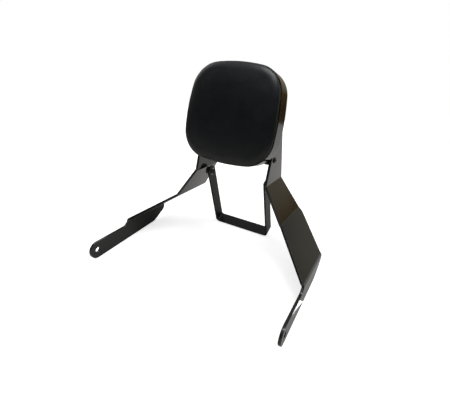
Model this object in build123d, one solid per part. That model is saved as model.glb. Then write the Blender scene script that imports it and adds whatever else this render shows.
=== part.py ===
from build123d import *
import os
from math import atan2, cos, degrees, hypot, radians, sin, tan

os.makedirs("parts", exist_ok=True)

# A backrest for the rear of a motorcycle seat: a small padded back on two bent sheet steel struts,
# with a U-shaped stay of flat bar hanging between them.
# It is drawn with y along the fold lines of the struts, z square to them, and the rider's side at -y.
# Right and left are as seen from the front, facing the pad.
# At the end it is levelled, so that it stands on its two eyes and on the stay.

# Struts, in millimetres. The right one is drawn and the left one is its mirror image.
strut_sheet = 4.0
strut_bend_radius = 5.0
upper_half_gap = 60.0
shoulder_slope = 32.6
shoulder_drop = 53.0
wing_slope = 53.7
wing_drop = 44.5

# Front and rear edges of the strut at its three folds, and the top of the upper panel.
first_fold_front = 0.0
first_fold_rear = 66.0
second_fold_front = -5.7
second_fold_rear = 85.0
third_fold_front = -66.0
third_fold_rear = 32.0
strut_top = 97.0
strut_top_width = 12.3
strut_corner_radius = 5.0
wing_corner_radius = 16.0
wing_corner_run = 7.0

# The arm that runs forward from the lower panel to its rounded eye.
relief_step = 9.0
relief_radius = 8.0
arm_front_start = -72.0
flare_end = 3.0
flare_drop = 27.5
flare_start_drop = 6.0
flare_corner_radius = 9.0
flare_radius = 24.0
eye_y = -133.0
eye_drop = 26.5
eye_radius = 14.0
eye_hole_radius = 4.5

# Padded back. Its frame has the origin in the middle of the front edge of the shell.
pad_y = -13.9
pad_z = 100.9
pad_tilt = 11.1
pad_half_width = 73.2
pad_half_height = 72.7
pad_side_bulge = 5.7
pad_level_bulge = 8.9
pad_top_narrowing = 2.7
pad_corner_radius = 41.0
shell_depth = 32.0
shell_wall = 2.2
shell_base = 2.5
shell_draft = 1.5
shell_back_radius = 5.0
shell_inner_radius = 0.8
shell_lip_radius = 0.9
board_thickness = 9.0
board_clearance = 0.8
cover_thickness = 1.2
cover_tuck = 14.0
cushion_rise = 13.0
cushion_crown = 6.5
cushion_edge_radius = 9.0
soft_clearance = 0.3

# Folded bracket behind the pad, with its flanges against the struts.
# Its foot edge is measured up from the foot of the pad, as that of the pad's screws is.
bracket_sheet = 3.0
bracket_bend_radius = 2.5
bracket_foot_edge = 9.2
bracket_above = 4.0
bracket_top_depth = 10.0
bracket_foot_depth = 34.0
bracket_corner_radius = 5.0
strut_setback = 1.0

# Stay of flat bar. It swings on two bosses welded to the struts.
pivot_y = 32.8
pivot_z = -7.9
bar_width = 20.0
bar_thickness = 3.0
bar_bend_radius = 4.0
stay_lean = 22.8
stay_length = 115.7
boss_radius = 6.5
boss_length = 6.5
axial_clearance = 0.1
running_clearance = 0.06

# Fasteners.
stay_bolt_radius = 3.0
stay_bolt_head_radius = 4.8
stay_bolt_head_height = 2.0
stay_bolt_socket = 4.0
stay_washer_radius = 5.8
stay_washer_thickness = 0.8
strut_bolt_radius = 2.5
strut_bolt_head_radius = 4.3
strut_bolt_head_height = 2.2
strut_bolt_socket = 3.0
strut_bolt_setback = 12.0
strut_bolt_rise = 0.6
strut_bolt_spacing = 40.0
strut_bolt_overhang = 1.4
strut_washer_radius = 5.0
strut_washer_thickness = 1.0
strut_nut_flats = 8.0
strut_nut_height = 4.7
pad_screw_radius = 3.0
pad_screw_flats = 10.0
pad_screw_head_height = 4.0
pad_screw_from_strut = 22.0
pad_screw_foot_edge = 24.7
pad_screw_spacing = 38.0
pad_screw_point = 1.5
pad_washer_radius = 9.0
pad_washer_thickness = 1.6
pad_spring_radius = 5.4
pad_spring_thickness = 1.6
pad_spring_gap = 1.5
t_nut_barrel_radius = 4.0
t_nut_barrel_length = 7.0
t_nut_flange_radius = 9.5
t_nut_flange_thickness = 1.5
bolt_hole_clearance = 0.3
button_chamfer_share = 0.55
socket_depth_share = 0.6
point_chamfer_share = 0.15

# Values that follow from the sizes above.
strut_x1 = upper_half_gap + strut_sheet / 2
strut_x2 = strut_x1 + shoulder_drop * tan(radians(shoulder_slope))
strut_x3 = strut_x2 + wing_drop * tan(radians(wing_slope))
strut_z2 = -shoulder_drop
strut_z3 = strut_z2 - wing_drop
eye_z = strut_z3 - eye_drop
bracket_below = pad_half_height - bracket_foot_edge
pad_screw_x = upper_half_gap - pad_screw_from_strut
pad_screw_low = -(pad_half_height - pad_screw_foot_edge)
pad_screw_high = pad_screw_low + pad_screw_spacing
strut_bolt_low = pad_z - bracket_below + strut_bolt_rise
strut_bolt_high = strut_bolt_low + strut_bolt_spacing
boss_start = upper_half_gap - boss_length
stay_half_width = boss_start - axial_clearance
pad_frame = Plane(
    origin=(0, pad_y, pad_z),
    x_dir=(1, 0, 0),
    z_dir=(0, -cos(radians(pad_tilt)), sin(radians(pad_tilt))),
)
stay_frame = Plane(
    origin=(0, pivot_y, pivot_z),
    x_dir=(1, 0, 0),
    z_dir=(0, -cos(radians(stay_lean)), -sin(radians(stay_lean))),
)


def upright_plane(x):
    return Plane(origin=(x, 0, 0), x_dir=(0, 1, 0), z_dir=(1, 0, 0))


def pad_back_y(z, behind=0.0):
    tilt = radians(pad_tilt)
    back_y = pad_y + (shell_depth + behind) * cos(tilt)
    back_z = pad_z - (shell_depth + behind) * sin(tilt)
    return back_y + (z - back_z) * tan(tilt)


def nearest_corner(sketch, u, v):
    return sketch.vertices().sort_by_distance((u, v, 0))[0]


def rounded_corners(sketch, corners):
    for u, v, radius in corners:
        sketch = fillet(nearest_corner(sketch, u, v), radius)
    return sketch


def tangent_point(centre, radius, point, side):
    du = point[0] - centre[0]
    dv = point[1] - centre[1]
    reach = hypot(du, dv)
    turn = atan2(dv, du) + side * atan2((reach**2 - radius**2) ** 0.5, radius)
    return centre[0] + radius * cos(turn), centre[1] + radius * sin(turn)


def both_sides(shape):
    return [shape, mirror(shape, about=Plane.YZ)]


def on_plane(plane, sketch, height, both=False):
    return extrude(plane * sketch, amount=height, both=both)


def fold_trim(turn):
    return (strut_bend_radius + strut_sheet / 2) * tan(radians(abs(turn)) / 2)


def strut_fold(x, z, slope_in, slope_out, front, rear):
    # A slice of tube between two panels, with the same sheet thickness and square side edges.
    turn = slope_out - slope_in
    middle_radius = strut_bend_radius + strut_sheet / 2
    side = 1 if turn > 0 else -1
    start = radians(slope_in)
    trim = fold_trim(turn)
    tangent_x = x - trim * sin(start)
    tangent_z = z + trim * cos(start)
    centre_x = tangent_x + side * middle_radius * cos(start)
    centre_z = tangent_z + side * middle_radius * sin(start)

    def rim(radius, share):
        angle = start + radians(turn) * share
        return centre_x - side * radius * cos(angle), front, centre_z - side * radius * sin(angle)

    near = strut_bend_radius
    far = strut_bend_radius + strut_sheet
    edges = [
        ThreePointArc(rim(near, 0), rim(near, 0.5), rim(near, 1)),
        Line(rim(near, 1), rim(far, 1)),
        ThreePointArc(rim(far, 1), rim(far, 0.5), rim(far, 0)),
        Line(rim(far, 0), rim(near, 0)),
    ]
    return extrude(make_face(edges), amount=rear - front, dir=(0, 1, 0))


def strut_slope_plane(x, z, slope):
    lean = radians(slope)
    return Plane(origin=(x, 0, z), x_dir=(sin(lean), 0, -cos(lean)), z_dir=(cos(lean), 0, sin(lean)))


def strut_upper_panel():
    trim = fold_trim(shoulder_slope)
    knee = pad_z - pad_half_height + strut_setback
    top_front = pad_back_y(strut_top, strut_setback)
    top_rear = top_front + strut_top_width
    outline = Polyline(
        (first_fold_front, trim),
        (pad_back_y(knee, strut_setback), knee),
        (top_front, strut_top),
        (top_rear, strut_top),
        (first_fold_rear, trim),
        close=True,
    )
    sketch = make_face(outline)
    corners = [(top_front, strut_top, strut_corner_radius), (top_rear, strut_top, strut_corner_radius)]
    sketch = rounded_corners(sketch, corners)
    for z in (strut_bolt_low, strut_bolt_high):
        hole = Circle(strut_bolt_radius + bolt_hole_clearance)
        sketch -= Pos(pad_back_y(z, strut_bolt_setback), z) * hole
    return on_plane(upright_plane(strut_x1), sketch, strut_sheet / 2, both=True)


def strut_shoulder_panel():
    length = shoulder_drop / cos(radians(shoulder_slope))
    start = fold_trim(shoulder_slope)
    end = length - fold_trim(wing_slope - shoulder_slope)
    outline = Polyline(
        (start, first_fold_front),
        (end, second_fold_front),
        (end, second_fold_rear),
        (start, first_fold_rear),
        close=True,
    )
    plane = strut_slope_plane(strut_x1, 0, shoulder_slope)
    return on_plane(plane, make_face(outline), strut_sheet / 2, both=True)


def strut_wing_panel():
    length = wing_drop / cos(radians(wing_slope))
    start = fold_trim(wing_slope - shoulder_slope)
    end = length - fold_trim(wing_slope)
    corner = start + wing_corner_run
    outline = Polyline(
        (start, second_fold_front),
        (end, third_fold_front),
        (end, third_fold_rear),
        (corner, second_fold_rear),
        (start, second_fold_rear),
        close=True,
    )
    sketch = rounded_corners(make_face(outline), [(corner, second_fold_rear, wing_corner_radius)])
    plane = strut_slope_plane(strut_x2, strut_z2, wing_slope)
    return on_plane(plane, sketch, strut_sheet / 2, both=True)


def strut_arm_panel():
    start = strut_z3 - fold_trim(wing_slope)
    step = (arm_front_start, strut_z3 - relief_step)
    flare = (flare_end, strut_z3 - flare_drop)
    eye = (eye_y, eye_z)
    upper = tangent_point(eye, eye_radius, step, 1)
    lower = tangent_point(eye, eye_radius, flare, -1)
    side_drop = start - flare_start_drop
    outline = Polyline(
        (third_fold_front, start),
        step,
        upper,
        lower,
        flare,
        (third_fold_rear, side_drop),
        (third_fold_rear, start),
        close=True,
    )
    corners = [
        (*step, relief_radius),
        (*flare, flare_radius),
        (third_fold_rear, side_drop, flare_corner_radius),
    ]
    sketch = rounded_corners(make_face(outline), corners) + Pos(*eye) * Circle(eye_radius)
    sketch -= Pos(*eye) * Circle(eye_hole_radius)
    return on_plane(upright_plane(strut_x3), sketch, strut_sheet / 2, both=True)


def strut():
    folds = [
        strut_fold(strut_x1, 0, 0, shoulder_slope, first_fold_front, first_fold_rear),
        strut_fold(
            strut_x2, strut_z2, shoulder_slope, wing_slope, second_fold_front, second_fold_rear
        ),
        strut_fold(strut_x3, strut_z3, wing_slope, 0, third_fold_front, third_fold_rear),
    ]
    sheet = strut_upper_panel() + strut_shoulder_panel() + strut_wing_panel() + strut_arm_panel()
    for fold in folds:
        sheet += fold
    return sheet


def circle_through(a, b, c):
    ab = (b - a).rotate(Axis.Z, 90)
    turn = (c - b).dot(c - a) / (2 * ab.dot(c - a))
    centre = (a + b) * 0.5 + ab * turn
    return centre, (a - centre).length


def corner_centre(one, two, near):
    # The point that lies pad_corner_radius inside both side arcs, on the side of the given corner.
    reach_one = one[1] - pad_corner_radius
    reach_two = two[1] - pad_corner_radius
    gap = two[0] - one[0]
    along = (reach_one**2 - reach_two**2 + gap.length**2) / (2 * gap.length)
    across = (reach_one**2 - along**2) ** 0.5
    step = gap.normalized()
    square = step.rotate(Axis.Z, 90)
    found = [one[0] + step * along + square * side for side in (across, -across)]
    return min(found, key=lambda point: (point - near).length)


def pad_outline(inset=0.0):
    # Four gently bowed sides with large round corners, a little narrower at the top.
    side = pad_half_width - pad_side_bulge
    level = pad_half_height - pad_level_bulge
    top = side - pad_top_narrowing
    low = side + pad_top_narrowing
    corners = [Vector(-low, -level), Vector(low, -level), Vector(top, level), Vector(-top, level)]
    middles = [
        Vector(0, -pad_half_height),
        Vector(pad_half_width, 0),
        Vector(0, pad_half_height),
        Vector(-pad_half_width, 0),
    ]
    sides = [circle_through(corners[i], middles[i], corners[(i + 1) % 4]) for i in range(4)]
    rounds = [corner_centre(sides[i - 1], sides[i], corners[i]) for i in range(4)]
    edges = []
    for i in range(4):
        before, radius_before = sides[i - 1]
        centre, radius = sides[i]
        enter = before + (rounds[i] - before).normalized() * (radius_before - inset)
        leave = centre + (rounds[i] - centre).normalized() * (radius - inset)
        outward = ((enter + leave) * 0.5 - rounds[i]).normalized()
        edges.append(ThreePointArc(enter, rounds[i] + outward * (pad_corner_radius - inset), leave))
        onward = centre + (rounds[(i + 1) % 4] - centre).normalized() * (radius - inset)
        middle = centre + (middles[i] - centre).normalized() * (radius - inset)
        edges.append(ThreePointArc(leave, middle, onward))
    return make_face(edges)


def pad_screw_places():
    places = []
    for x in (-pad_screw_x, pad_screw_x):
        for v in (pad_screw_low, pad_screw_high):
            places.append((x, v))
    return places


def pad_drilled(shape, start, radius, length):
    for x, v in pad_screw_places():
        hole = pad_frame * Pos(x, v, start) * Cylinder(
            radius, length, align=(Align.CENTER, Align.CENTER, Align.MIN)
        )
        shape -= hole
    return shape


def pad_shell():
    outer = extrude(pad_outline(), amount=-shell_depth, taper=shell_draft)
    outer = fillet(outer.faces().sort_by(Axis.Z)[0].edges(), shell_back_radius)
    depth = shell_depth - shell_base
    inner = extrude(pad_outline(shell_wall), amount=-depth, taper=shell_draft)
    inner = fillet(inner.faces().sort_by(Axis.Z)[0].edges(), shell_inner_radius)
    shell = outer - inner
    rim = shell.faces().sort_by(Axis.Z)[-1]
    shell = fillet(rim.edges(), shell_lip_radius)
    shell = pad_frame * shell
    return pad_drilled(shell, -shell_depth - 1, pad_screw_radius + bolt_hole_clearance, shell_base + 2)


def board_inset():
    return shell_wall + board_clearance + (shell_depth - shell_base) * tan(radians(shell_draft))


def pad_board():
    back = -shell_depth + shell_base
    board = pad_frame * Pos(0, 0, back) * extrude(pad_outline(board_inset()), amount=board_thickness)
    front = back + board_thickness
    flange = t_nut_flange_thickness
    board = pad_drilled(board, front - flange, t_nut_flange_radius + bolt_hole_clearance, flange + 1)
    return pad_drilled(board, back - 1, t_nut_barrel_radius, board_thickness + 2)


def cushion(inset, back, rise):
    block = Pos(0, 0, back) * extrude(pad_outline(inset), amount=rise - back)
    reach = pad_half_width - inset
    crown_radius = (reach**2 + cushion_crown**2) / (2 * cushion_crown)
    dome = Pos(0, 0, rise - crown_radius) * Sphere(crown_radius)
    block = block & dome
    front_edges = block.faces().sort_by(Axis.Z)[-1].edges()
    # The foam's edge is turned a little tighter than the cover's, as it lies further in.
    return fillet(front_edges, cushion_edge_radius - inset / 2)


def tucked_inset():
    return shell_wall + soft_clearance + cover_tuck * tan(radians(shell_draft))


def pad_cover():
    inset = tucked_inset()
    outer = cushion(inset, -cover_tuck, cushion_rise)
    inner = cushion(inset + cover_thickness, -cover_tuck - 1, cushion_rise - cover_thickness)
    return pad_frame * (outer - inner)


def pad_foam():
    inset = tucked_inset() + cover_thickness + soft_clearance
    back = -shell_depth + shell_base + board_thickness + soft_clearance
    front = cushion_rise - cover_thickness - soft_clearance
    block = cushion(inset, back, front)
    lower = Pos(0, 0, back) * extrude(pad_outline(board_inset()), amount=-back - cover_tuck)
    keep = Pos(0, 0, -cover_tuck) * extrude(pad_outline(), amount=cover_tuck + cushion_rise)
    return pad_frame * ((block & keep) + lower)


def bracket():
    # The folds run up the bracket; the flanges are square to the web and parallel to each other.
    half = upper_half_gap - bracket_sheet / 2
    web = -shell_depth - bracket_sheet / 2
    bend = bracket_bend_radius + bracket_sheet
    stub = web - bend
    path = FilletPolyline((-half, stub), (-half, web), (half, web), (half, stub),
                          radius=bend - bracket_sheet / 2)
    height = bracket_below + bracket_above
    profile_plane = Plane(
        origin=pad_frame.from_local_coords(Vector(0, -bracket_below, 0)),
        x_dir=(1, 0, 0),
        z_dir=-pad_frame.y_dir,
    )
    channel = extrude(profile_plane * trace(path, bracket_sheet), amount=-height)
    for flange in both_sides(bracket_flange(bend)):
        channel += flange
    for x, v in pad_screw_places():
        hole = Cylinder(pad_screw_radius + bolt_hole_clearance, 3 * bracket_sheet)
        channel -= pad_frame * Pos(x, v, web) * hole
    return channel


def bracket_flange(bend):
    low = pad_z - bracket_below * cos(radians(pad_tilt)) - shell_depth * sin(radians(pad_tilt))
    high = low + (bracket_below + bracket_above) * cos(radians(pad_tilt))
    top_rear = pad_back_y(high, bend + bracket_top_depth)
    foot_rear = pad_back_y(low, bend + bracket_foot_depth)
    outline = Polyline(
        (pad_back_y(high, bend), high),
        (top_rear, high),
        (foot_rear, low),
        (pad_back_y(low, bend), low),
        close=True,
    )
    corners = [(top_rear, high, bracket_corner_radius), (foot_rear, low, bracket_corner_radius)]
    sketch = rounded_corners(make_face(outline), corners)
    for z in (strut_bolt_low, strut_bolt_high):
        hole = Circle(strut_bolt_radius + bolt_hole_clearance)
        sketch -= Pos(pad_back_y(z, strut_bolt_setback), z) * hole
    return on_plane(upright_plane(upper_half_gap - bracket_sheet), sketch, bracket_sheet)


def stay():
    middle = stay_half_width - bar_thickness / 2
    bottom = -stay_length + bar_thickness / 2
    path = FilletPolyline((-middle, 0), (-middle, bottom), (middle, bottom), (middle, 0),
                          radius=bar_bend_radius + bar_thickness / 2)
    bar = extrude(stay_frame * trace(path, bar_thickness), amount=bar_width / 2, both=True)
    for ear in both_sides(stay_ear()):
        bar += ear
    hole = Pos(0, pivot_y, pivot_z) * Rot(0, 90, 0) * Cylinder(
        stay_bolt_radius + running_clearance, 2 * stay_half_width + 2
    )
    return bar - hole


def stay_ear():
    plane = upright_plane(stay_half_width - bar_thickness)
    return on_plane(plane, Pos(pivot_y, pivot_z) * Circle(bar_width / 2), bar_thickness)


def turned_along_x(x, y, z, radius, length):
    return Pos(x, y, z) * Rot(0, 90, 0) * Cylinder(
        radius, length, align=(Align.CENTER, Align.CENTER, Align.MIN)
    )


def stay_boss():
    ring = turned_along_x(boss_start, pivot_y, pivot_z, boss_radius, boss_length)
    return ring - turned_along_x(boss_start - 1, pivot_y, pivot_z, stay_bolt_radius, boss_length + 2)


def stay_head_seat():
    return stay_half_width - bar_thickness - axial_clearance - stay_washer_thickness


def stay_washer():
    start = stay_head_seat()
    disc = turned_along_x(start, pivot_y, pivot_z, stay_washer_radius, stay_washer_thickness)
    bore = turned_along_x(
        start - 1, pivot_y, pivot_z, stay_bolt_radius + running_clearance, stay_washer_thickness + 2
    )
    return disc - bore


def button_bolt(shank_radius, shank_length, head_radius, head_height, socket):
    # Low conical head with a hexagon socket; the shank points along +z from the head.
    head = Cylinder(head_radius, head_height, align=(Align.CENTER, Align.CENTER, Align.MAX))
    head = chamfer(head.edges().sort_by(Axis.Z)[0], head_height * button_chamfer_share)
    hexagon = RegularPolygon(socket / 2, 6, major_radius=False)
    head -= Pos(0, 0, -head_height) * extrude(hexagon, amount=head_height * socket_depth_share)
    shank = Cylinder(shank_radius, shank_length, align=(Align.CENTER, Align.CENTER, Align.MIN))
    shank = chamfer(shank.edges().sort_by(Axis.Z)[-1], shank_radius * point_chamfer_share)
    return head + shank


def stay_bolt():
    length = upper_half_gap - stay_head_seat()
    bolt = button_bolt(
        stay_bolt_radius, length, stay_bolt_head_radius, stay_bolt_head_height, stay_bolt_socket
    )
    return Pos(stay_head_seat(), pivot_y, pivot_z) * Rot(0, 90, 0) * bolt


def strut_bolt_places():
    return [(pad_back_y(z, strut_bolt_setback), z) for z in (strut_bolt_low, strut_bolt_high)]


def strut_bolts():
    stack = strut_sheet + bracket_sheet + strut_washer_thickness + strut_nut_height
    bolt = button_bolt(
        strut_bolt_radius, stack + strut_bolt_overhang, strut_bolt_head_radius,
        strut_bolt_head_height, strut_bolt_socket,
    )
    outside = upper_half_gap + strut_sheet
    return [Pos(outside, y, z) * Rot(0, -90, 0) * bolt for y, z in strut_bolt_places()]


def strut_washers():
    start = upper_half_gap - bracket_sheet - strut_washer_thickness
    washers = []
    for y, z in strut_bolt_places():
        disc = turned_along_x(start, y, z, strut_washer_radius, strut_washer_thickness)
        bore = strut_bolt_radius + bolt_hole_clearance
        washers.append(disc - turned_along_x(start - 1, y, z, bore, strut_washer_thickness + 2))
    return washers


def strut_nuts():
    start = upper_half_gap - bracket_sheet - strut_washer_thickness - strut_nut_height
    nuts = []
    for y, z in strut_bolt_places():
        hexagon = RegularPolygon(strut_nut_flats / 2, 6, major_radius=False)
        nut = extrude(hexagon - Circle(strut_bolt_radius), amount=strut_nut_height)
        nuts.append(Pos(start, y, z) * Rot(0, 90, 0) * nut)
    return nuts


def pad_stack():
    # Heights of the faces behind the pad, from the bracket's rear face outwards.
    rear = -shell_depth - bracket_sheet
    spring = rear - pad_washer_thickness
    head = spring - pad_spring_thickness
    return rear, spring, head


def at_pad_screws(shape, height):
    return [pad_frame * Pos(x, v, height) * shape for x, v in pad_screw_places()]


def pad_washers():
    rear, spring, _ = pad_stack()
    ring = Circle(pad_washer_radius) - Circle(pad_screw_radius + bolt_hole_clearance)
    return at_pad_screws(extrude(ring, amount=pad_washer_thickness), spring)


def pad_spring_washers():
    _, _, head = pad_stack()
    ring = Circle(pad_spring_radius) - Circle(pad_screw_radius + bolt_hole_clearance)
    slot = Pos(pad_spring_radius / 2, 0) * Rectangle(pad_spring_radius, pad_spring_gap)
    return at_pad_screws(extrude(ring - slot, amount=pad_spring_thickness), head)


def pad_screws():
    _, _, head = pad_stack()
    tip = -shell_depth + shell_base + board_thickness - pad_screw_point
    flats = RegularPolygon(pad_screw_flats / 2, 6, major_radius=False)
    hexagon = extrude(flats, amount=-pad_screw_head_height)
    shank = Cylinder(pad_screw_radius, tip - head, align=(Align.CENTER, Align.CENTER, Align.MIN))
    return at_pad_screws(hexagon + shank, head)


def pad_t_nuts():
    front = -shell_depth + shell_base + board_thickness
    bore = Circle(pad_screw_radius)
    flange = extrude(Circle(t_nut_flange_radius) - bore, amount=-t_nut_flange_thickness)
    barrel = extrude(Circle(t_nut_barrel_radius) - bore, amount=-t_nut_barrel_length)
    return at_pad_screws(flange + barrel, front)


def levelling():
    # The plane under both eyes and the lowest edge of the stay becomes the ground.
    lean = radians(stay_lean)
    foot_y = pivot_y + stay_length * sin(lean) - bar_width / 2 * cos(lean)
    foot_z = pivot_z - stay_length * cos(lean) - bar_width / 2 * sin(lean)
    run = foot_y - eye_y
    rise = foot_z - eye_z
    reach = hypot(run, rise)
    angle = atan2(rise, run)
    angle += atan2(eye_radius, (reach**2 - eye_radius**2) ** 0.5)
    return degrees(angle)


def all_pieces():
    right = strut()
    return {
        "strut_right": [right],
        "strut_left": [mirror(right, about=Plane.YZ)],
        "pad_bracket": [bracket()],
        "stay": [stay()],
        "stay_bosses": both_sides(stay_boss()),
        "stay_bolts": both_sides(stay_bolt()),
        "stay_washers": both_sides(stay_washer()),
        "strut_bolts": [piece for bolt in strut_bolts() for piece in both_sides(bolt)],
        "strut_washers": [piece for washer in strut_washers() for piece in both_sides(washer)],
        "strut_nuts": [piece for nut in strut_nuts() for piece in both_sides(nut)],
        "pad_shell": [pad_shell()],
        "pad_board": [pad_board()],
        "pad_foam": [pad_foam()],
        "pad_cover": [pad_cover()],
        "pad_t_nuts": pad_t_nuts(),
        "pad_screws": pad_screws(),
        "pad_washers": pad_washers(),
        "pad_spring_washers": pad_spring_washers(),
    }


def row_placement(pieces):
    turned = Rot(-levelling(), 0, 0)
    solids = [turned * piece for group in pieces.values() for piece in group]
    box = Compound(children=solids).bounding_box()
    middle_y = (box.min.Y + box.max.Y) / 2
    return Pos(0, -middle_y, -box.min.Z) * turned


def main():
    pieces = all_pieces()
    placement = row_placement(pieces)
    for name, group in pieces.items():
        placed = [placement * piece for piece in group]
        shape = placed[0] if len(placed) == 1 else Compound(children=placed)
        shape.label = name
        export_step(shape, f"parts/{name}.step")
        print(name, "written")


main()
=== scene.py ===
import bpy, bmesh
from math import sin, cos, pi, radians, atan2, hypot, sqrt
from mathutils import Matrix, Vector


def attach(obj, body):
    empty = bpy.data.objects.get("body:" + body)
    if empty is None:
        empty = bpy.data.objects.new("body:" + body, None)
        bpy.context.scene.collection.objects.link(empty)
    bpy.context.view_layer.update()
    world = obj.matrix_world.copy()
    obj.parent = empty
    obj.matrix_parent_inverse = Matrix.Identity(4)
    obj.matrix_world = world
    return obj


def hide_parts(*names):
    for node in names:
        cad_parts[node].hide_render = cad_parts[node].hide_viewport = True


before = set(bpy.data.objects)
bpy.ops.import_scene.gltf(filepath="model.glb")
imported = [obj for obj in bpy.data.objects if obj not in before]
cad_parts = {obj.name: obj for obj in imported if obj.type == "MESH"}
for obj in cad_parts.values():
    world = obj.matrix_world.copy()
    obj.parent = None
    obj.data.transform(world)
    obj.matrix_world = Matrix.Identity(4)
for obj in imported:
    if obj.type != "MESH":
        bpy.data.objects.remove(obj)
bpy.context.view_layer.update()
scene = bpy.context.scene
print("model loaded")


# the camera, at the photograph's viewing angle
cameraPlace = {
    "location": (0.216256, -0.375301, 0.325411),
    "right": (0.868070, 0.495444, 0.031473),
    "up": (-0.242992, 0.368753, 0.897204),
    "back": (0.432908, -0.786483, 0.440492),
    "lens": 25.5653,
    "shift": (0.0067353, -0.0141083),
    "sensor": 36,
    "sees": (0.01, 20),                  # nearest and furthest that the camera sees, in metres
}


def makeCamera(place):
    data = bpy.data.cameras.new("photoCamera")
    camera = bpy.data.objects.new("photoCamera", data)
    scene.collection.objects.link(camera)
    turn = Matrix((place["right"], place["up"], place["back"])).transposed()
    camera.matrix_world = Matrix.Translation(place["location"]) @ turn.to_4x4()
    data.sensor_fit = "HORIZONTAL"
    data.sensor_width = place["sensor"]
    data.lens = place["lens"]
    data.shift_x, data.shift_y = place["shift"]
    data.clip_start, data.clip_end = place["sees"]
    scene.camera = camera


makeCamera(cameraPlace)
scene.view_settings.view_transform = "Standard"
print("camera placed")


# small helpers for the materials
def newMaterial(name):
    material = bpy.data.materials.new(name)
    material.use_nodes = True
    nodes, links = material.node_tree.nodes, material.node_tree.links
    return material, nodes, links, nodes["Principled BSDF"]


def metreCoords(nodes, links, stretch=(1, 1, 1), turn=(0, 0, 0)):
    coords = nodes.new("ShaderNodeTexCoord")
    mapping = nodes.new("ShaderNodeMapping")
    mapping.inputs["Scale"].default_value = stretch
    mapping.inputs["Rotation"].default_value = turn
    links.new(coords.outputs["Object"], mapping.inputs["Vector"])
    return mapping.outputs["Vector"]


def noise(nodes, links, vector, scale, detail=2.0, rough=0.5, distortion=0.0):
    texture = nodes.new("ShaderNodeTexNoise")
    texture.inputs["Scale"].default_value = scale
    texture.inputs["Detail"].default_value = detail
    texture.inputs["Roughness"].default_value = rough
    texture.inputs["Distortion"].default_value = distortion
    links.new(vector, texture.inputs["Vector"])
    return texture.outputs["Fac"]


def cells(nodes, links, vector, scale, feature="F1"):
    texture = nodes.new("ShaderNodeTexVoronoi")
    texture.feature = feature
    texture.inputs["Scale"].default_value = scale
    links.new(vector, texture.inputs["Vector"])
    return texture.outputs["Distance"]


def ramp(nodes, links, value, stops):
    node = nodes.new("ShaderNodeValToRGB")
    points = node.color_ramp.elements
    while len(points) < len(stops):
        points.new(0.5)
    for point, (place, colour) in zip(points, stops):
        point.position = place
        point.color = (*colour, 1) if isinstance(colour, tuple) else (colour, colour, colour, 1)
    links.new(value, node.inputs["Fac"])
    return node.outputs["Color"]


def remap(nodes, links, value, fromLow, fromHigh, low, high):
    node = nodes.new("ShaderNodeMapRange")
    node.inputs["From Min"].default_value = fromLow
    node.inputs["From Max"].default_value = fromHigh
    node.inputs["To Min"].default_value = low
    node.inputs["To Max"].default_value = high
    links.new(value, node.inputs["Value"])
    return node.outputs["Result"]


def arithmetic(nodes, links, kind, first, second):
    node = nodes.new("ShaderNodeMath")
    node.operation = kind
    for socket, value in zip(node.inputs, (first, second)):
        if isinstance(value, (int, float)):
            socket.default_value = value
        else:
            links.new(value, socket)
    return node.outputs["Value"]


def blendColour(nodes, links, factor, first, second):
    node = nodes.new("ShaderNodeMix")
    node.data_type = "RGBA"
    links.new(factor, node.inputs["Factor"])
    for socket, value in ((node.inputs[6], first), (node.inputs[7], second)):
        if isinstance(value, tuple):
            socket.default_value = (*value, 1)
        else:
            links.new(value, socket)
    return node.outputs[2]


def bump(nodes, links, height, distance, strength=1.0, before=None):
    node = nodes.new("ShaderNodeBump")
    node.inputs["Distance"].default_value = distance
    node.inputs["Strength"].default_value = strength
    links.new(height, node.inputs["Height"])
    if before is not None:
        links.new(before, node.inputs["Normal"])
    return node.outputs["Normal"]


# black paint on the folded steel and on the stay
paintGrain = {
    "cloudScale": 14,                    # scales count the marks per metre, here and below
    "speckScale": 900,
    "wearScale": 160,
    "smearScale": 38,
    "smearStretch": (1, 1, 0.35),
    "smearTurn": (0.4, 0.3, 0),
    "peelScale": 420,
    "waveScale": 26,
    "waveDepth": 0.00012,                # depths are in metres, here and below
    "dusty": 0.15,
    "bare": (0.10, 0.097, 0.092),
    "edgeWear": 0.35,
    "coatRough": 0.08,
}
paintLook = {
    "deep": (0.0085, 0.0085, 0.0090),
    "thin": (0.0135, 0.0132, 0.0128),
    "dust": (0.030, 0.028, 0.024),
    "gloss": 0.05,
    "dull": 0.11,
    "peel": 0.000004,
    "index": 1.5,
    "coat": 0.25,
}


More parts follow.
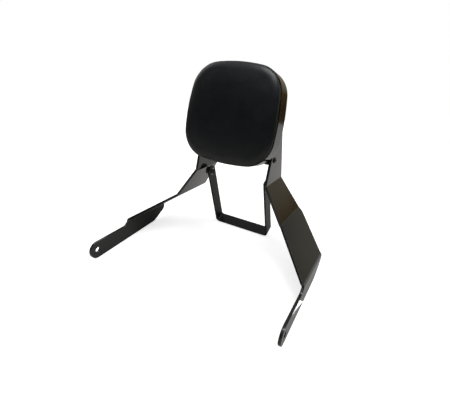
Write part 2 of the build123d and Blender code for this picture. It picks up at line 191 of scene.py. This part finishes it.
def blackPaint(name, look, grain, worn=0.0):
    material, nodes, links, shader = newMaterial(name)
    place = metreCoords(nodes, links)
    cloud = noise(nodes, links, place, grain["cloudScale"], detail=3, rough=0.55)
    colour = ramp(nodes, links, cloud, [(0.35, look["deep"]), (0.70, look["thin"])])
    speck = noise(nodes, links, place, grain["speckScale"], detail=1)
    dusty = ramp(nodes, links, speck, [(0.70, 0.0), (0.80, grain["dusty"])])
    colour = blendColour(nodes, links, dusty, colour, look["dust"])
    if worn > 0:  # the paint draws thin along a cut edge
        wear = noise(nodes, links, place, grain["wearScale"], detail=4, rough=0.65)
        bare = ramp(nodes, links, wear, [(0.48, 0.0), (0.66, worn)])
        colour = blendColour(nodes, links, bare, colour, grain["bare"])
    links.new(colour, shader.inputs["Base Color"])
    drawn = metreCoords(nodes, links, grain["smearStretch"], grain["smearTurn"])
    smear = noise(nodes, links, drawn, grain["smearScale"], detail=4, rough=0.6, distortion=0.4)
    rough = remap(nodes, links, smear, 0.35, 0.70, look["gloss"], look["dull"])
    links.new(rough, shader.inputs["Roughness"])
    peel = noise(nodes, links, place, grain["peelScale"])
    waves = noise(nodes, links, place, grain["waveScale"], detail=1, rough=0.4)
    fine = bump(nodes, links, peel, look["peel"])
    normal = bump(nodes, links, waves, grain["waveDepth"], strength=0.5, before=fine)
    links.new(normal, shader.inputs["Normal"])
    shader.inputs["IOR"].default_value = look["index"]
    shader.inputs["Coat Weight"].default_value = look["coat"]
    shader.inputs["Coat Roughness"].default_value = grain["coatRough"]
    return material


stayLook = {
    "deep": (0.0055, 0.0055, 0.0057),
    "thin": (0.0090, 0.0088, 0.0085),
    "dust": (0.020, 0.019, 0.017),
    "gloss": 0.24,
    "dull": 0.36,
    "peel": 0.000010,
    "index": 1.30,
    "coat": 0.0,
}

# black moulded plastic of the pad's shell
shellLook = {
    "deep": (0.0055, 0.0055, 0.0056),
    "pale": (0.0088, 0.0085, 0.0080),
    "gloss": 0.08,
    "dull": 0.18,
    "index": 1.5,
    "cloudScale": 20,
    "dragScale": 260,
    "dragStretch": (1, 0.08, 0.3),       # faint drag lines along the way the mould opens
    "grainScale": 1400,
    "grainDepth": 0.000012,
    "sinkScale": 34,
    "sinkDepth": 0.00018,
}


def mouldedShell(name, look):
    material, nodes, links, shader = newMaterial(name)
    place = metreCoords(nodes, links)
    cloud = noise(nodes, links, place, look["cloudScale"], detail=3)
    colour = ramp(nodes, links, cloud, [(0.35, look["deep"]), (0.7, look["pale"])])
    links.new(colour, shader.inputs["Base Color"])
    drawn = metreCoords(nodes, links, look["dragStretch"])
    scuffs = noise(nodes, links, drawn, look["dragScale"], detail=3, rough=0.6)
    rough = remap(nodes, links, scuffs, 0.35, 0.72, look["gloss"], look["dull"])
    links.new(rough, shader.inputs["Roughness"])
    grain = cells(nodes, links, place, look["grainScale"])
    fine = bump(nodes, links, grain, look["grainDepth"])
    sink = noise(nodes, links, place, look["sinkScale"], detail=1, rough=0.4)
    normal = bump(nodes, links, sink, look["sinkDepth"], strength=0.5, before=fine)
    links.new(normal, shader.inputs["Normal"])
    shader.inputs["IOR"].default_value = look["index"]
    return material


# the vinyl that is stretched over the cushion
vinylLook = {
    "deep": (0.0028, 0.0031, 0.0033),
    "high": (0.0046, 0.0050, 0.0054),
    "smooth": 0.31,
    "coarse": 0.42,
    "index": 1.5,
    "valley": (0.004, 0.004, 0.0045),    # colour in the creases between the pebbles
    "cloudScale": 18,
    "sheenScale": 55,
    "pebbleScale": 620,
    "pebbleDepth": 0.00004,
    "creaseDepth": 0.00003,
    "slackScale": 30,
    "slackDepth": 0.0003,
}


def grainedVinyl(name, look):
    material, nodes, links, shader = newMaterial(name)
    place = metreCoords(nodes, links)
    pebbles = cells(nodes, links, place, look["pebbleScale"], "SMOOTH_F1")
    creases = cells(nodes, links, place, look["pebbleScale"], "DISTANCE_TO_EDGE")
    cloud = noise(nodes, links, place, look["cloudScale"], detail=4, rough=0.6)
    colour = ramp(nodes, links, cloud, [(0.3, look["deep"]), (0.72, look["high"])])
    valley = ramp(nodes, links, creases, [(0.0, 0.65), (0.12, 0.0)])
    colour = blendColour(nodes, links, valley, colour, look["valley"])
    links.new(colour, shader.inputs["Base Color"])
    sheen = noise(nodes, links, place, look["sheenScale"], detail=3, rough=0.6)
    rough = remap(nodes, links, sheen, 0.32, 0.7, look["smooth"], look["coarse"])
    links.new(rough, shader.inputs["Roughness"])
    fine = bump(nodes, links, pebbles, look["pebbleDepth"], strength=0.6)
    cuts = ramp(nodes, links, creases, [(0.0, 0.0), (0.1, 1.0)])
    edges = bump(nodes, links, cuts, look["creaseDepth"], strength=0.5, before=fine)
    slack = noise(nodes, links, place, look["slackScale"])
    normal = bump(nodes, links, slack, look["slackDepth"], strength=0.4, before=edges)
    links.new(normal, shader.inputs["Normal"])
    shader.inputs["IOR"].default_value = look["index"]
    return material


# screws, washers and nuts
zincLook = {
    "base": (0.62, 0.62, 0.60),
    "stain": (0.40, 0.38, 0.33),
    "metallic": 1.0,
    "gloss": 0.28,
    "dull": 0.46,
}
blackOxideLook = {
    "base": (0.022, 0.022, 0.023),
    "stain": (0.050, 0.044, 0.036),
    "metallic": 0.6,
    "gloss": 0.30,
    "dull": 0.50,
}
platedGrain = {
    "patchScale": 170,
    "markScale": 1500,
    "markStretch": (1, 1, 0.12),
    "markDepth": 0.00002,
}


def plated(name, look, grain):
    material, nodes, links, shader = newMaterial(name)
    place = metreCoords(nodes, links)
    patches = noise(nodes, links, place, grain["patchScale"], detail=4, rough=0.65)
    colour = ramp(nodes, links, patches, [(0.38, look["base"]), (0.74, look["stain"])])
    links.new(colour, shader.inputs["Base Color"])
    rough = remap(nodes, links, patches, 0.3, 0.75, look["gloss"], look["dull"])
    links.new(rough, shader.inputs["Roughness"])
    drawn = metreCoords(nodes, links, grain["markStretch"])
    marks = noise(nodes, links, drawn, grain["markScale"])
    links.new(bump(nodes, links, marks, grain["markDepth"]), shader.inputs["Normal"])
    shader.inputs["Metallic"].default_value = look["metallic"]
    return material


# the board and the foam inside the pad
plywoodLook = {
    "pale": (0.52, 0.36, 0.20),
    "dark": (0.33, 0.20, 0.10),
    "smooth": 0.62,
    "coarse": 0.82,
    "grainScale": 320,
    "grainStretch": (0.06, 1, 1),
    "grainTurn": (0.3, 0, 0),
    "grainDepth": 0.0001,
}
foamLook = {
    "pale": (0.36, 0.35, 0.31),
    "dark": (0.20, 0.19, 0.17),
    "smooth": 0.8,
    "coarse": 1.0,
    "poreScale": 700,
    "poreDepth": 0.0005,
}


def plywood(name, look):
    material, nodes, links, shader = newMaterial(name)
    drawn = metreCoords(nodes, links, look["grainStretch"], look["grainTurn"])
    grain = noise(nodes, links, drawn, look["grainScale"], detail=5, rough=0.62, distortion=0.8)
    colour = ramp(nodes, links, grain, [(0.35, look["pale"]), (0.68, look["dark"])])
    links.new(colour, shader.inputs["Base Color"])
    rough = remap(nodes, links, grain, 0.3, 0.7, look["smooth"], look["coarse"])
    links.new(rough, shader.inputs["Roughness"])
    links.new(bump(nodes, links, grain, look["grainDepth"]), shader.inputs["Normal"])
    return material


def openFoam(name, look):
    material, nodes, links, shader = newMaterial(name)
    pores = cells(nodes, links, metreCoords(nodes, links), look["poreScale"])
    colour = ramp(nodes, links, pores, [(0.1, look["dark"]), (0.5, look["pale"])])
    links.new(colour, shader.inputs["Base Color"])
    rough = remap(nodes, links, pores, 0, 0.6, look["smooth"], look["coarse"])
    links.new(rough, shader.inputs["Roughness"])
    links.new(bump(nodes, links, pores, look["poreDepth"]), shader.inputs["Normal"])
    return material


strutPaint = blackPaint("strutPaint", paintLook, paintGrain)
strutEdge = blackPaint("strutEdge", paintLook, paintGrain, paintGrain["edgeWear"])
stayPaint = blackPaint("stayPaint", stayLook, paintGrain)
stayEdge = blackPaint("stayEdge", stayLook, paintGrain, paintGrain["edgeWear"])
bracketPaint = blackPaint("bracketPaint", paintLook, paintGrain)
shellPlastic = mouldedShell("shellPlastic", shellLook)
vinyl = grainedVinyl("vinyl", vinylLook)
zinc = plated("zinc", zincLook, platedGrain)
blackOxide = plated("blackOxide", blackOxideLook, platedGrain)
boardWood = plywood("boardWood", plywoodLook)
foamFill = openFoam("foamFill", foamLook)

nodeFinish = {
    "pad_bracket": bracketPaint,
    "stay_bosses": strutPaint,
    "stay_bolts": blackOxide,
    "stay_washers": zinc,
    "strut_bolts": blackOxide,
    "strut_washers": zinc,
    "strut_nuts": zinc,
    "pad_shell": shellPlastic,
    "pad_board": boardWood,
    "pad_foam": foamFill,
    "pad_t_nuts": zinc,
    "pad_screws": zinc,
    "pad_washers": zinc,
    "pad_spring_washers": zinc,
}
for nodeName, finish in nodeFinish.items():
    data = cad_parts[nodeName].data
    data.materials.clear()
    data.materials.append(finish)
print("finishes made")


# folded steel with the soft edges that paint leaves
edgeLook = {
    "radius": 0.00055,
    "segments": 2,
    "rounded": 40,                       # corners sharper than this are rounded, in degrees
    "shadedSharp": 50,
    "flat": 0.4,                         # faces that differ by less than this become one, in degrees
    "merge": 0.000002,
}


def cleaned(node, look):
    bm = bmesh.new()
    bm.from_mesh(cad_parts[node].data)
    bmesh.ops.remove_doubles(bm, verts=bm.verts, dist=look["merge"])
    bmesh.ops.dissolve_limit(bm, angle_limit=radians(look["flat"]), verts=bm.verts, edges=bm.edges)
    return bm


def softEdged(node, name, finish, edgeFinish, body, look):
    bm = cleaned(node, look)
    rounded = radians(look["rounded"])
    corners = [e for e in bm.edges if e.is_manifold and e.calc_face_angle() > rounded]
    for face in bm.faces:
        face.material_index = 0
        face.smooth = True
    made = bmesh.ops.bevel(
        bm, geom=corners, offset=look["radius"], segments=look["segments"],
        profile=0.5, affect="EDGES", clamp_overlap=True,
    )
    for face in made["faces"]:
        face.material_index = 1
        face.smooth = True
    bmesh.ops.triangulate(bm, faces=[f for f in bm.faces if len(f.verts) > 4])
    mesh = bpy.data.meshes.new(name)
    bm.to_mesh(mesh)
    bm.free()
    mesh.materials.append(finish)
    mesh.materials.append(edgeFinish)
    mesh.set_sharp_from_angle(angle=radians(look["shadedSharp"]))
    piece = bpy.data.objects.new(name, mesh)
    scene.collection.objects.link(piece)
    weighted = piece.modifiers.new("flatFaces", "WEIGHTED_NORMAL")
    weighted.keep_sharp = True
    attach(piece, body)
    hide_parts(node)


softEdged("strut_right", "strutRight", strutPaint, strutEdge, "frame", edgeLook)
softEdged("strut_left", "strutLeft", strutPaint, strutEdge, "frame", edgeLook)
softEdged("stay", "stayBar", stayPaint, stayEdge, "stay", edgeLook)
print("steel pieces made")


# the stuffed cover of the pad
padLook = {
    "centre": (0, 0.035320, 0.226466),   # middle of the shell's front edge
    "lean": 16.6669,
    "halfWidth": 0.0732,
    "halfHeight": 0.0727,
    "sideBulge": 0.0057,
    "levelBulge": 0.0089,
    "narrowing": 0.0027,
    "corner": 0.041,
    "inset": 0.002867,                   # from the shell's outside to the vinyl inside the shell
    "lip": 0.0005,                       # the same where the cushion swells over the shell's lip
    "tuck": 0.0136,
    "belowLip": (-0.009, -0.005, -0.002, 0.0),
    "rise": 0.0152,
    "crown": 0.0065,
    "crownStep": 0.006,
    "crownRings": 8,
    "edge": 0.0110,                      # how far in, and how far down, the front edge is rounded
    "edgeDrop": 0.0062,
    "thickness": 0.0011,
    "opened": 0.0006,                    # how much of the closed back is cut away
    "voxel": 0.0025,
    "pressure": 4.0,
    "quality": 5,
    "steps": 20,
    "pinned": 0.001,                     # up to this height the cloth is held by the shell
    "mostMove": 0.0012,
    "evening": 14,                       # how often the cloth's moves are averaged, so that it lies smooth
}


def circleThrough(a, b, c):
    d = 2 * (a[0] * (b[1] - c[1]) + b[0] * (c[1] - a[1]) + c[0] * (a[1] - b[1]))
    sq = [p[0] ** 2 + p[1] ** 2 for p in (a, b, c)]
    x = (sq[0] * (b[1] - c[1]) + sq[1] * (c[1] - a[1]) + sq[2] * (a[1] - b[1])) / d
    y = (sq[0] * (c[0] - b[0]) + sq[1] * (a[0] - c[0]) + sq[2] * (b[0] - a[0])) / d
    return (x, y), hypot(a[0] - x, a[1] - y)


def nearCorner(one, two, corner, radius):
    (x0, y0), r0 = one[0], one[1] - radius
    (x1, y1), r1 = two[0], two[1] - radius
    gap = hypot(x1 - x0, y1 - y0)
    along = (r0 ** 2 - r1 ** 2 + gap ** 2) / (2 * gap)
    off = sqrt(r0 ** 2 - along ** 2)
    ux, uy = (x1 - x0) / gap, (y1 - y0) / gap
    found = [(x0 + along * ux - s * off * uy, y0 + along * uy + s * off * ux) for s in (1, -1)]
    return min(found, key=lambda p: hypot(p[0] - corner[0], p[1] - corner[1]))


def padCurve(look):
    side = look["halfWidth"] - look["sideBulge"]
    level = look["halfHeight"] - look["levelBulge"]
    top, low = side - look["narrowing"], side + look["narrowing"]
    corners = [(low, -level), (top, level), (-top, level), (-low, -level)]
    halfWidth, halfHeight = look["halfWidth"], look["halfHeight"]
    middles = [(halfWidth, 0), (0, halfHeight), (-halfWidth, 0), (0, -halfHeight)]
    sides = [circleThrough(corners[i], middles[i], corners[(i + 1) % 4]) for i in range(4)]
    rounds = [nearCorner(sides[i - 1], sides[i], corners[i], look["corner"]) for i in range(4)]
    return sides, rounds


def padRing(look, curve, inset, count=128):
    sides, rounds = curve
    points = []
    for k in range(count):
        turn = -pi / 4 + 2 * pi * (k + 0.5) / count
        normal = (cos(turn), sin(turn))
        place = max(rounds, key=lambda corner: corner[0] * normal[0] + corner[1] * normal[1])
        radius = look["corner"]
        for i, (centre, sideRadius) in enumerate(sides):
            first = rounds[i]
            last = rounds[(i + 1) % 4]
            start = atan2(first[1] - centre[1], first[0] - centre[0])
            end = atan2(last[1] - centre[1], last[0] - centre[0])
            inside = (turn - start) % (2 * pi) <= (end - start) % (2 * pi)
            if inside:
                place, radius = centre, sideRadius
        points.append((place[0] + (radius - inset) * normal[0], place[1] + (radius - inset) * normal[1]))
    return points


def padFrame(look):
    lean = radians(look["lean"])
    return Matrix((
        (1, 0, 0, look["centre"][0]),
        (0, sin(lean), -cos(lean), look["centre"][1]),
        (0, cos(lean), sin(lean), look["centre"][2]),
        (0, 0, 0, 1),
    ))


def cushionForm(look):
    curve = padCurve(look)
    reach = look["halfWidth"] - look["inset"]
    crownRadius = (reach ** 2 + look["crown"] ** 2) / (2 * look["crown"])
    overhang, edge, drop = look["inset"] - look["lip"], look["edge"], look["edgeDrop"]
    levels = [(look["inset"], "inside", z) for z in (-look["tuck"], *look["belowLip"])]
    levels += [(look["inset"] - overhang * sin(k * pi / 10), "flare", k / 5) for k in range(1, 5)]
    levels += [(look["lip"] + edge * (1 - cos(radians(a))), "edge", drop * (1 - sin(radians(a))))
               for a in range(0, 91, 9)]
    levels += [(look["lip"] + edge + look["crownStep"] * k, "edge", 0.0)
               for k in range(1, look["crownRings"] + 1)]
    bm = bmesh.new()
    rings = []
    for inset, part, height in levels:
        ring = []
        for x, y in padRing(look, curve, inset):
            crown = look["rise"] - crownRadius + sqrt(crownRadius ** 2 - x * x - y * y)
            z = {"inside": height, "flare": height * (crown - drop), "edge": crown - height}[part]
            ring.append(bm.verts.new((x, y, z)))
        rings.append(ring)
    count = len(rings[0])
    for lower, upper in zip(rings, rings[1:]):
        for k in range(count):
            n = (k + 1) % count
            bm.faces.new((lower[k], lower[n], upper[n], upper[k]))
    bm.faces.new(list(reversed(rings[0])))
    tip = bm.verts.new((0, 0, look["rise"]))
    for k in range(count):
        bm.faces.new((rings[-1][k], rings[-1][(k + 1) % count], tip))
    return bm


def evenMesh(piece, voxel):
    form = bpy.data.objects.new("form", piece.data)
    scene.collection.objects.link(form)
    even = piece.modifiers.new("evenSkin", "REMESH")
    even.mode = "VOXEL"
    even.voxel_size = voxel
    drawnOn = piece.modifiers.new("drawnOn", "SHRINKWRAP")  # puts the even mesh back on the exact form
    drawnOn.target = form
    applied = piece.evaluated_get(bpy.context.evaluated_depsgraph_get())
    mesh = bpy.data.meshes.new_from_object(applied)
    piece.modifiers.clear()
    piece.data = mesh
    bpy.data.objects.remove(form)


def evened(mesh, moves, rounds):
    for _ in range(rounds):
        totals = [move.copy() for move in moves]
        counts = [1] * len(moves)
        for edge in mesh.edges:
            a, b = edge.vertices
            totals[a] += moves[b]
            totals[b] += moves[a]
            counts[a] += 1
            counts[b] += 1
        moves = [total / count for total, count in zip(totals, counts)]
    return moves


def stuff(piece, look):
    mesh = piece.data
    before = [v.co.copy() for v in mesh.vertices]
    held = piece.vertex_groups.new(name="held")
    held.add([v.index for v in mesh.vertices if v.co.z < look["pinned"]], 1.0, "REPLACE")
    cloth = piece.modifiers.new("stuffing", "CLOTH")
    cloth.settings.quality = look["quality"]
    cloth.settings.vertex_group_mass = "held"
    cloth.settings.use_pressure = True
    cloth.settings.uniform_pressure_force = look["pressure"]
    cloth.settings.effector_weights.gravity = 0
    for number in range(1, look["steps"] + 1):
        scene.frame_set(number)
    swollen = piece.evaluated_get(bpy.context.evaluated_depsgraph_get())
    after = [v.co.copy() for v in swollen.data.vertices]
    piece.modifiers.remove(cloth)
    scene.frame_set(1)
    moves = [end - start for start, end in zip(before, after)]
    for move in moves:
        if move.length > look["mostMove"]:
            move.length = look["mostMove"]
    moves = evened(mesh, moves, look["evening"])
    for vertex, start, move in zip(mesh.vertices, before, moves):
        vertex.co = start + move
    print("stuffing moved the cover up to", round(max(move.length for move in moves) * 1000, 2), "mm")


def openBack(piece, look):
    bm = bmesh.new()
    bm.from_mesh(piece.data)
    bmesh.ops.bisect_plane(
        bm, geom=bm.verts[:] + bm.edges[:] + bm.faces[:], dist=0.000001,
        plane_co=(0, 0, -look["tuck"] + look["opened"]), plane_no=(0, 0, 1), clear_inner=True,
    )
    for face in bm.faces:
        face.smooth = True
    bm.to_mesh(piece.data)
    bm.free()


def makePadCover(look):
    bm = cushionForm(look)
    bmesh.ops.recalc_face_normals(bm, faces=bm.faces)
    mesh = bpy.data.meshes.new("padCover")
    bm.to_mesh(mesh)
    bm.free()
    piece = bpy.data.objects.new("padCover", mesh)
    scene.collection.objects.link(piece)
    evenMesh(piece, look["voxel"])
    stuff(piece, look)
    openBack(piece, look)
    piece.data.transform(padFrame(look))
    piece.data.materials.clear()
    piece.data.materials.append(vinyl)
    smooth = piece.modifiers.new("softer", "SUBSURF")
    smooth.levels = smooth.render_levels = 1
    skin = piece.modifiers.new("skin", "SOLIDIFY")
    skin.thickness = look["thickness"]
    skin.offset = -1
    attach(piece, "frame")
    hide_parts("pad_cover")


makePadCover(padLook)
print("pad cover made")


# pale floor, plain room and soft lamps
floorLook = {
    "size": 1.0,
    "colour": (0.80, 0.80, 0.80),
    "rough": 0.9,
    "shadedNearby": (0.44, 0.435, 0.42),       # painted tones that the floor shows only in gloss, darker close by as painted shade and brighter further back
    "further": (0.66, 0.65, 0.62),
    "fade": (0.10, 0.42),
    "glow": 0.66,
    "below": 0.0004,
    "patchBack": -0.026,                 # a painted bright wedge of floor, seen only in gloss, which the right arm mirrors as a painted reflection
    "patchSide": 0.1585,
    "patchSlant": 0.184,
    "patchEnd": 0.170,
    "patchLong": 0.034,
    "reflectionTone": (3.0, 3.0, 3.0),
}
roomLook = {
    "fill": 0.62,
    "rear": [(0.0, (0.62, 0.60, 0.56)), (0.42, (0.06, 0.030, 0.003)), (0.475, (0.13, 0.08, 0.012)),
             (0.50, (0.26, 0.21, 0.13)), (0.56, (0.36, 0.33, 0.25)), (0.66, (0.18, 0.17, 0.14)),
             (0.80, (0.17, 0.17, 0.16)), (1.0, (0.60, 0.62, 0.66))],
    "front": [(0.0, (0.30, 0.30, 0.30)), (0.45, (0.07, 0.085, 0.09)), (0.70, (0.036, 0.042, 0.046)),
              (0.84, (0.13, 0.14, 0.17)), (1.0, (0.85, 0.88, 0.98))],
    "turnsRear": (-0.25, 0.35),          # where the front's tones give way to the rear's
}


# the wedge of floor that is painted bright in gloss, for a painted reflection in the right arm
def paintedReflectionWedge(nodes, links, look):
    split = nodes.new("ShaderNodeSeparateXYZ")
    links.new(metreCoords(nodes, links), split.inputs["Vector"])
    x, y = split.outputs["X"], split.outputs["Y"]
    behind = arithmetic(nodes, links, "SUBTRACT", look["patchBack"], y)
    side = arithmetic(nodes, links, "MULTIPLY", behind, look["patchSlant"])
    side = arithmetic(nodes, links, "ADD", side, look["patchSide"])
    reflectionWedge = arithmetic(nodes, links, "GREATER_THAN", behind, 0.0)
    limits = [
        ("LESS_THAN", behind, look["patchLong"]),
        ("GREATER_THAN", x, side),
        ("LESS_THAN", x, look["patchEnd"]),
    ]
    for kind, value, limit in limits:
        reflectionWedge = arithmetic(nodes, links, "MULTIPLY", reflectionWedge, arithmetic(nodes, links, kind, value, limit))
    return reflectionWedge


def makeFloor(look):
    bm = bmesh.new()
    bmesh.ops.create_grid(bm, x_segments=2, y_segments=2, size=look["size"])
    mesh = bpy.data.meshes.new("floor")
    bm.to_mesh(mesh)
    bm.free()
    floor = bpy.data.objects.new("floor", mesh)
    floor.location.z = -look["below"]
    scene.collection.objects.link(floor)
    material, nodes, links, shader = newMaterial("floorPaper")
    shader.inputs["Roughness"].default_value = look["rough"]
    path = nodes.new("ShaderNodeLightPath")
    reflectionWedge = paintedReflectionWedge(nodes, links, look)
    split = nodes.new("ShaderNodeSeparateXYZ")
    links.new(metreCoords(nodes, links), split.inputs["Vector"])
    # in gloss the floor shows these painted tones in place of its own colour, darker close by as painted
    # shade
    back = remap(nodes, links, split.outputs["Y"], *look["fade"], 0, 1)
    mirrored = blendColour(nodes, links, back, look["shadedNearby"], look["further"])
    # painted reflection: the wedge shows bright in the floor's gloss tones
    mirrored = blendColour(nodes, links, reflectionWedge, mirrored, look["reflectionTone"])
    tone = blendColour(nodes, links, path.outputs["Is Glossy Ray"], look["colour"], mirrored)
    links.new(tone, shader.inputs["Base Color"])
    glow = arithmetic(nodes, links, "MULTIPLY", path.outputs["Is Camera Ray"], look["glow"])
    shader.inputs["Emission Color"].default_value = (1, 1, 1, 1)
    links.new(glow, shader.inputs["Emission Strength"])
    mesh.materials.append(material)


def makeRoom(look):
    world = bpy.data.worlds.new("room")
    scene.world = world
    world.use_nodes = True
    nodes, links = world.node_tree.nodes, world.node_tree.links
    background = nodes["Background"]
    coords = nodes.new("ShaderNodeTexCoord")
    split = nodes.new("ShaderNodeSeparateXYZ")
    links.new(coords.outputs["Generated"], split.inputs["Vector"])
    height = remap(nodes, links, split.outputs["Z"], -1, 1, 0, 1)
    rear = ramp(nodes, links, height, look["rear"])
    front = ramp(nodes, links, height, look["front"])
    facing = remap(nodes, links, split.outputs["Y"], *look["turnsRear"], 0, 1)
    mirrored = blendColour(nodes, links, facing, front, rear)
    path = nodes.new("ShaderNodeLightPath")
    fill = look["fill"]
    colour = blendColour(nodes, links, path.outputs["Is Glossy Ray"], (fill, fill, fill), mirrored)
    seen, through = path.outputs["Is Camera Ray"], path.outputs["Is Transmission Ray"]
    clear = arithmetic(nodes, links, "MAXIMUM", seen, through)
    colour = blendColour(nodes, links, clear, colour, (1.0, 1.0, 1.0))
    links.new(colour, background.inputs["Color"])
    background.inputs["Strength"].default_value = 1.0


lampLooks = [
    {"name": "overhead", "place": (0.26, -0.02, 1.30), "size": 0.6, "watts": 5.5},
    {"name": "leftSide", "place": (-1.10, 0.30, 0.90), "size": 0.8, "watts": 2.0},
    {"name": "rightSide", "place": (1.20, 0.55, 0.85), "size": 0.8, "watts": 1.5},
]
lampAim = (0, 0.03, 0.14)


def makeLamp(look, aim):
    data = bpy.data.lights.new(look["name"], "AREA")
    data.energy = look["watts"]
    data.size = look["size"]
    lamp = bpy.data.objects.new(look["name"], data)
    lamp.location = look["place"]
    lamp.rotation_euler = (Vector(aim) - lamp.location).to_track_quat("-Z", "Y").to_euler()
    scene.collection.objects.link(lamp)


makeFloor(floorLook)
makeRoom(roomLook)
for lampLook in lampLooks:
    makeLamp(lampLook, lampAim)
print("floor, room and lamps made")
